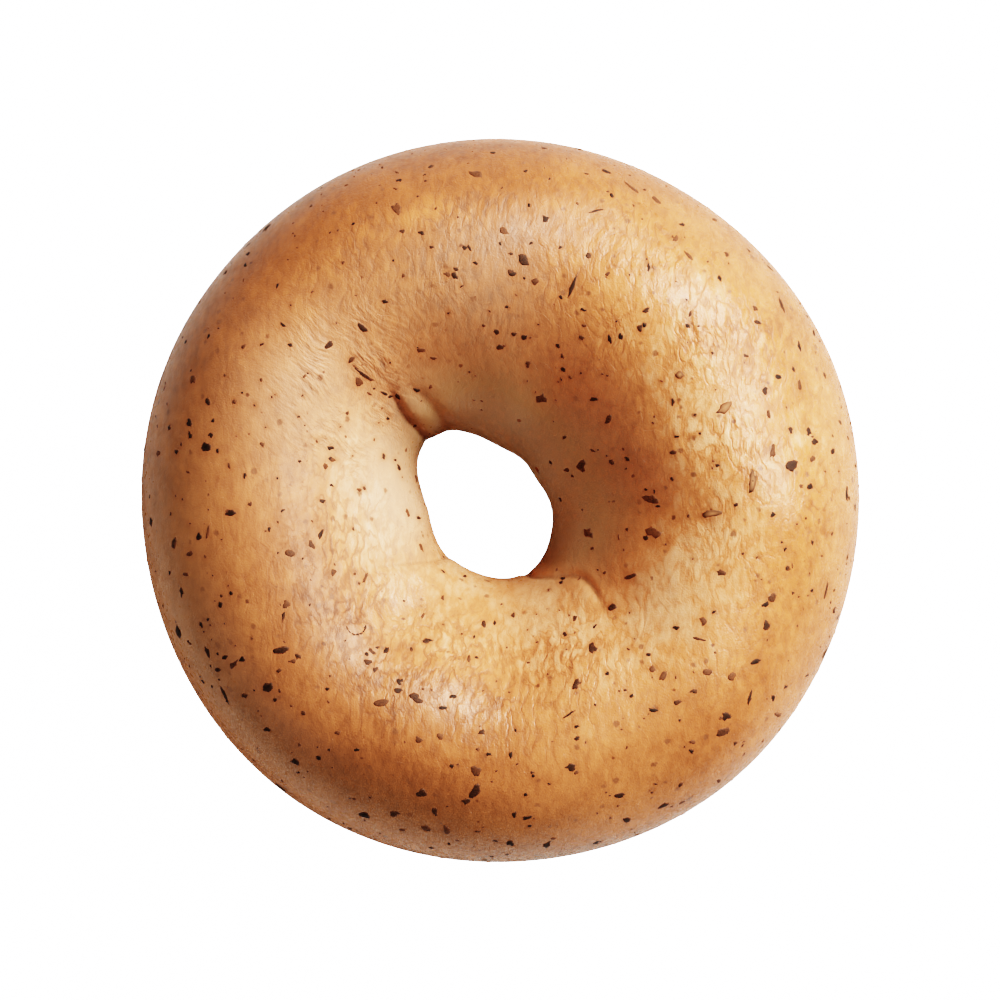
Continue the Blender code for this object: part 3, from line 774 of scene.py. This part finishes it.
class Graph:
    """A material's node tree, with short ways to add and join nodes."""

    def __init__(self, name):
        self.material = bpy.data.materials.new(name)
        self.material.use_nodes = True
        self.nodes = self.material.node_tree.nodes
        self.links = self.material.node_tree.links
        self.shader = self.nodes["Principled BSDF"]

    def put(self, socket, value):
        """Joins a socket to another node's output, or sets its number."""
        if isinstance(value, bpy.types.NodeSocket):
            self.links.new(value, socket)
        else:
            socket.default_value = value

    def node(self, kind, inputs=(), **settings):
        made = self.nodes.new("ShaderNode" + kind)
        for key, value in settings.items():
            setattr(made, key, value)
        for key, value in dict(inputs).items():
            self.put(made.inputs[key], value)
        return made

    def math(self, operation, *values, clamp=False):
        made = self.nodes.new("ShaderNodeMath")
        made.operation, made.use_clamp = operation, clamp
        for socket, value in zip(made.inputs, values):
            self.put(socket, value)
        return made.outputs[0]

    def dots(self, cell, largest, edge, place):
        """Soft-edged dots in half of the cells, of any radius up to the largest, a share of the cell."""
        spots = self.voronoi((cell,) * 3, place)
        chance = self.node("SeparateColor", {"Color": spots["Color"]}).outputs[0]
        radius = self.math("MULTIPLY_ADD", chance, 2 * largest, -largest)
        return self.math("DIVIDE", self.math("SUBTRACT", radius, spots["Distance"]), edge, clamp=True)

    def place(self):
        """Places on the object, in metres."""
        return self.node("TexCoord").outputs["Object"]

    def ragged(self, size, amount):
        """Places on the object, pushed aside at random by up to about the amount: uneven outlines."""
        wave = self.node("TexNoise", {"Vector": self.where((size,) * 3), "Scale": 1.0, "Detail": 0.0})
        aside = self.vector("SUBTRACT", wave.outputs["Color"], (0.5, 0.5, 0.5))
        return self.vector("MULTIPLY_ADD", aside, (2 * amount,) * 3, self.place())

    def vector(self, operation, *values):
        made = self.nodes.new("ShaderNodeVectorMath")
        made.operation = operation
        for socket, value in zip(made.inputs, values):
            self.put(socket, value)
        return made.outputs["Value" if operation == "DOT_PRODUCT" else "Vector"]

    def where(self, scale, place=None, turned=0):
        """Places in cells of the given sizes, of which the first runs at an angle, in degrees, from +X."""
        mapped = self.node("Mapping", {"Vector": place or self.place()}, vector_type="TEXTURE")
        mapped.inputs["Scale"].default_value = tuple(scale)
        mapped.inputs["Rotation"].default_value = (0, 0, math.radians(turned))
        return mapped.outputs[0]

    def noise(self, scale, detail=2.0, place=None, turned=0):
        inputs = {"Vector": self.where(scale, place, turned), "Scale": 1.0, "Detail": detail}
        return self.node("TexNoise", inputs).outputs["Fac"]

    def line(self, scale, sharpness, place):
        """Thin winding lines, 1 in their middle, where a noise crosses its mean."""
        away = self.math("ABSOLUTE", self.math("SUBTRACT", self.noise(scale, 3, place), 0.5))
        return self.math("MULTIPLY_ADD", away, -sharpness, 1.0, clamp=True)

    def voronoi(self, scale, place):
        return self.node("TexVoronoi", {"Vector": self.where(scale, place), "Scale": 1.0}).outputs

    def attribute(self, name):
        return self.node("Attribute", attribute_name=name).outputs["Fac"]

    def ramp(self, value, stops):
        ramp = self.node("ValToRGB", {"Fac": value})
        elements = ramp.color_ramp.elements
        while len(elements) < len(stops):
            elements.new(0.5)
        for element, (position, colour) in zip(elements, stops):
            element.position = position
            element.color = (*colour, 1)
        return ramp.outputs["Color"]

    def mix(self, share, first, second):
        made = self.node("Mix", data_type="RGBA")
        for key, value in ((0, share), (6, first), (7, second)):
            self.put(made.inputs[key], (*value, 1) if isinstance(value, tuple) else value)
        return made.outputs[2]

    def swing(self, value, amount):
        """A noise value turned into one that swings by the amount either side of zero."""
        return self.math("MULTIPLY_ADD", value, 2 * amount, -amount)

    def sum(self, *values):
        total = values[0]
        for value in values[1:]:
            total = self.math("ADD", total, value)
        return total


PALE = (0.87, 0.41, 0.195)
GOLDEN = (0.62, 0.195, 0.066)
BROWN = (0.37, 0.108, 0.036)
DARK = (0.17, 0.048, 0.017)
# Duller skin with painted shade, and the painted shade deep in the hole
DULL_SHADE = (0.29, 0.152, 0.07)
DEEP_SHADE = (0.26, 0.2, 0.135)
RICH_TINT = (1.0, 0.81, 0.52)
CREAM = (0.88, 0.53, 0.32)
STAIN = (0.34, 0.1, 0.034)
FAINT_SPECK = (0.18, 0.062, 0.026)
SPECK = (0.10, 0.028, 0.010)
# The colour of the painted shade in the creases
CREASE_SHADE_COLOUR = (0.12, 0.045, 0.018)
BROWN_STOPS = ((0.1, PALE), (0.42, GOLDEN), (0.72, BROWN), (1.0, DARK))

# The crust's pattern. Dots are (cell, largest radius and soft edge, as shares of the cell).
GRAIN_SIZE = (0.9 * MM, 2.0 * MM, 1.8 * MM)
GRAIN = 0.32
GRAIN_ELSEWHERE = 0.45  # how much of it there is where the skin isn't puckered
# how dark the painted shade in the wrinkles' valleys is
VALLEY_SHADE = 0.4
# how much of the stains and faint specks the painted shade of the dull patches hides
HIDDEN_BY_DULL_SHADE = 0.9
RAGGED_SIZE, RAGGED = 0.45 * MM, 0.16 * MM
BLOTCH_DOTS, BLOTCH_SHARE = (4.2 * MM, 0.26, 0.2), 0.35
FAINT_DOTS, FAINT_SHARE = (1.8 * MM, 0.34, 0.14), 0.8
DARK_DOTS, DARK_SHARE = (2.7 * MM, 0.15, 0.05), 0.85
STAIN_SHARE = 0.85

# The crust's fine relief: heights are shares of the relief's full height
RELIEF = 0.32 * MM
PLATE_SIZE, PLATE_LEAN = (1.5 * MM, 4.2 * MM, 3.4 * MM), 0.7
LINE_SIZE, LINE_SHARPNESS, LINE_DEPTH = (1.7 * MM, 3.4 * MM, 2.8 * MM), 13, 0.25
STREAK_SIZE, STREAK_HEIGHT, STREAKS_ELSEWHERE = (1.0 * MM, 2.6 * MM, 2.2 * MM), 0.9, 0.06
RIDGE_HEIGHT = 1.7
RIDGE_SLOPE, RIDGE_LOW = 3.5, 1.9  # how fast the painted shade on the ground between pulled wrinkles darkens it, from where
PORE_SIZE, PORE_HEIGHT = (0.26 * MM,) * 3, 0.1

GLOSS_SIZE = (0.8 * MM,) * 3  # of the patches of smoother and rougher skin
SMOOTHEST, ROUGHER, VALLEY_ROUGHER = 0.1, 0.35, 0.3
SPECULAR = 0.28
COAT, COAT_ROUGHNESS = 0.08, 0.2

FLECK_STOPS = ((0.2, (0.008, 0.004, 0.003)), (0.5, (0.03, 0.011, 0.006)), (0.78, (0.16, 0.05, 0.02)))
FLECK_GRAIN_SIZE = (0.22 * MM,) * 3
FLECK_RIM, FLECK_RIM_SHARE = (0.14, 0.05, 0.022), 0.55
FLECK_PALE = (0.42, 0.16, 0.065)
FLECK_ROUGHNESS, FLECK_SPECULAR = 0.6, 0.12


def crust_colour(graph, valley):
    """The crust's colour: browned in patches, stained round the flecks, with small specks, and with
    painted light and shade: darker along the creases, down the hole, in the wrinkles' valleys and on the
    sides turned from the lamps, paler where the lamps and highlights fall.

    A valley is 1 at the bottom of a wrinkle and 0 on a plate of skin, and darkens the colour there as
    painted shade.
    """
    grain = graph.swing(graph.noise(GRAIN_SIZE, 4), GRAIN)
    # Browning with the patches' painted light and shade, and painted shade in the valleys
    brown = graph.sum(
        graph.attribute("browning_with_painted_light"),
        graph.math("MULTIPLY", grain, graph.math("ADD", graph.attribute("puckered"), GRAIN_ELSEWHERE)),
        graph.math("MULTIPLY", valley, VALLEY_SHADE),
    )
    colour = graph.ramp(brown, BROWN_STOPS)
    rich = graph.mix(graph.attribute("rich"), (1.0, 1.0, 1.0), RICH_TINT)
    colour = graph.vector("MULTIPLY", colour, rich)
    # Cream skin, with painted light on the hole's wall that faces the lamps
    colour = graph.mix(graph.attribute("cream_and_painted_light"), colour, CREAM)
    dull_and_shade = graph.attribute("dull_and_shade")
    # Painted shade on the hole's wall, where the skin is also duller and greyer
    colour = graph.mix(graph.math("MINIMUM", dull_and_shade, 1.0), colour, DULL_SHADE)
    colour = graph.mix(graph.math("SUBTRACT", dull_and_shade, 1.0, clamp=True), colour, DEEP_SHADE)
    clear = graph.math("MULTIPLY_ADD", dull_and_shade, -HIDDEN_BY_DULL_SHADE, 1.0, clamp=True)
    ragged = graph.ragged(RAGGED_SIZE, RAGGED)
    blotches = graph.math("MULTIPLY", graph.dots(*BLOTCH_DOTS, ragged), BLOTCH_SHARE)
    halo = graph.math("MULTIPLY", graph.attribute("stain"), STAIN_SHARE)
    stained = graph.math("MULTIPLY", graph.math("MAXIMUM", blotches, halo), clear)
    colour = graph.mix(stained, colour, STAIN)
    faint = graph.math("MULTIPLY", graph.dots(*FAINT_DOTS, ragged), clear)
    colour = graph.mix(graph.math("MULTIPLY", faint, FAINT_SHARE), colour, FAINT_SPECK)
    specks = graph.math("MULTIPLY", graph.dots(*DARK_DOTS, ragged), DARK_SHARE)
    colour = graph.mix(specks, colour, SPECK)
    # Painted shade along the creases
    return graph.mix(graph.attribute("crease_shade"), colour, CREASE_SHADE_COLOUR)


def crust_material():
    graph = Graph("crust")
    bend = graph.node("Attribute", attribute_name="bend").outputs["Vector"]
    bent = graph.vector("ADD", graph.place(), bend)
    plate = graph.voronoi(PLATE_SIZE, bent)
    local = graph.vector("SUBTRACT", graph.where(PLATE_SIZE, bent), plate["Position"])
    lean = graph.vector("DOT_PRODUCT", local, graph.vector("SUBTRACT", plate["Color"], (0.5, 0.5, 0.5)))
    here = graph.attribute("puckered")
    ridges = graph.noise(PULLED_SIZE, 3, bent, turned=SEAM_DIRECTION)
    pulled = graph.attribute("pulled")
    line = graph.line(LINE_SIZE, LINE_SHARPNESS, bent)
    valley = graph.math("MULTIPLY", line, here)
    # The ground between pulled wrinkles and the wrinkles' valleys darken the colour as painted shade
    low = graph.math("MULTIPLY_ADD", ridges, -RIDGE_SLOPE, RIDGE_LOW, clamp=True)
    low = graph.math("MULTIPLY", low, pulled)
    graph.put(graph.shader.inputs["Base Color"], crust_colour(graph, graph.math("MAXIMUM", valley, low)))
    streaks = graph.noise(STREAK_SIZE, 4, bent)
    streaks = graph.math("MULTIPLY", streaks, graph.math("ADD", here, STREAKS_ELSEWHERE))
    height = graph.sum(
        graph.math("MULTIPLY", graph.math("MULTIPLY", lean, PLATE_LEAN), here),
        graph.math("MULTIPLY", valley, -LINE_DEPTH),
        graph.math("MULTIPLY", streaks, STREAK_HEIGHT),
        graph.math("MULTIPLY", graph.math("MULTIPLY", ridges, pulled), RIDGE_HEIGHT),
        graph.math("MULTIPLY", graph.noise(PORE_SIZE, 1), PORE_HEIGHT),
    )
    bump = graph.node("Bump", {"Height": height, "Strength": 1.0, "Distance": RELIEF})
    graph.put(graph.shader.inputs["Normal"], bump.outputs[0])
    rough = graph.math("MULTIPLY_ADD", graph.noise(GLOSS_SIZE, 1), ROUGHER, SMOOTHEST)
    rough = graph.sum(rough, graph.math("MULTIPLY", valley, VALLEY_ROUGHER), graph.attribute("matte"))
    graph.put(graph.shader.inputs["Roughness"], rough)
    graph.shader.inputs["Specular IOR Level"].default_value = SPECULAR
    graph.shader.inputs["Coat Weight"].default_value = COAT
    graph.shader.inputs["Coat Roughness"].default_value = COAT_ROUGHNESS
    return graph.material


def fleck_material():
    graph = Graph("herb")
    shade = graph.math("ADD", graph.attribute("shade"), graph.noise(FLECK_GRAIN_SIZE, 2))
    shade = graph.math("MULTIPLY", shade, 0.5)
    colour = graph.ramp(shade, FLECK_STOPS)
    rim = graph.math("MULTIPLY", graph.attribute("rim"), FLECK_RIM_SHARE)
    colour = graph.mix(rim, colour, FLECK_RIM)
    colour = graph.mix(graph.attribute("paler"), colour, FLECK_PALE)
    graph.put(graph.shader.inputs["Base Color"], colour)
    graph.shader.inputs["Roughness"].default_value = FLECK_ROUGHNESS
    graph.shader.inputs["Specular IOR Level"].default_value = FLECK_SPECULAR
    return graph.material


WHITE = (1.0, 1.0, 1.0)
FLOOR_HALF = 1.5
FLOOR_BELOW = 0.1 * MM
FLOOR_COLOUR = (0.6, 0.53, 0.45)
FLOOR_ROUGHNESS = 0.9
GROUND_GLOW = 14.0  # seen by the camera alone
WORLD_LIGHT = 0.03

# Soft boxes that face the bagel: azimuth, counter-clockwise from +X, and elevation in degrees, distance,
# size, power in watts, and which reflection shows it: matt shading alone or gloss alone
LIGHTS = {
    "key": (33, 37, 0.75, (0.45, 0.45), 19.0, "shade"),
    "fill": (215, 22, 0.8, (0.6, 0.4), 2.0, "shade"),
    "right_gloss": (6, 47, 0.75, (0.25, 0.42), 8.5, "gloss"),
    "upper_gloss": (50, 42, 0.75, (0.34, 0.42), 15.0, "gloss"),
}
GLOSS_COLOUR = (1.0, 0.87, 0.7)


def make_floor():
    """A pale table that looks white to the camera and lights the bagel only a little."""
    corners = np.array(((-1, -1), (1, -1), (1, 1), (-1, 1))) * FLOOR_HALF
    points = np.column_stack((corners, np.full(4, -FLOOR_BELOW)))
    floor = add_mesh("floor", points, [(0, 1, 2, 3)], smooth=False)
    graph = Graph("floor")
    graph.shader.inputs["Base Color"].default_value = (*FLOOR_COLOUR, 1)
    graph.shader.inputs["Roughness"].default_value = FLOOR_ROUGHNESS
    graph.shader.inputs["Emission Color"].default_value = (*WHITE, 1)
    seen = graph.node("LightPath").outputs["Is Camera Ray"]
    graph.put(graph.shader.inputs["Emission Strength"], graph.math("MULTIPLY", seen, GROUND_GLOW))
    floor.data.materials.append(graph.material)


def add_light(name, azimuth, elevation, distance, size, power, shown):
    light = bpy.data.lights.new(name, "AREA")
    light.shape = "RECTANGLE"
    light.size, light.size_y = size
    light.energy = power
    box = bpy.data.objects.new(name, light)
    a, e = math.radians(azimuth), math.radians(elevation)
    box.location = Vector((math.cos(a) * math.cos(e), math.sin(a) * math.cos(e), math.sin(e))) * distance
    box.rotation_euler = (-box.location).to_track_quat("-Z", "Y").to_euler()
    box.visible_glossy = shown != "shade"
    box.visible_diffuse = shown != "gloss"
    light.color = GLOSS_COLOUR if shown == "gloss" else WHITE
    bpy.context.scene.collection.objects.link(box)


def make_world():
    world = bpy.data.worlds.new("studio")
    world.use_nodes = True
    nodes, links = world.node_tree.nodes, world.node_tree.links
    seen = nodes.new("ShaderNodeLightPath").outputs["Is Camera Ray"]
    strength = nodes.new("ShaderNodeMath")
    strength.operation = "MULTIPLY_ADD"
    strength.inputs[1].default_value, strength.inputs[2].default_value = GROUND_GLOW, WORLD_LIGHT
    links.new(seen, strength.inputs[0])
    nodes["Background"].inputs["Color"].default_value = (*WHITE, 1)
    links.new(strength.outputs[0], nodes["Background"].inputs["Strength"])
    bpy.context.scene.world = world


def make_camera():
    data = bpy.data.cameras.new("camera")
    data.lens, data.sensor_width = LENS, SENSOR
    camera = bpy.data.objects.new("camera", data)
    camera.location = (0, 0, VIEW_HEIGHT)
    bpy.context.scene.collection.objects.link(camera)
    bpy.context.scene.camera = camera


def main():
    crust = make_crust()
    crust.data.materials.append(crust_material())
    places = list(seen_flecks(LARGE_FLECKS))
    spread = list(spread_flecks(places))
    places += seen_flecks(SEEN_FLECKS + SEAM_CRUMBS + tuple(smile()))
    seen = len(places)
    places += spread + list(fine_flecks())
    flecks = make_flecks("herb_flecks", places, seen, FLECK_SEED)
    flecks.data.materials.append(fleck_material())
    add_stains(crust, places)
    for piece in (crust, flecks):
        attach(piece, "root")
        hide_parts("bagel")
    make_floor()
    for name, settings in LIGHTS.items():
        add_light(name, *settings)
    make_world()
    make_camera()
    view = bpy.context.scene.view_settings
    view.view_transform, view.look = "Filmic", "High Contrast"


main()
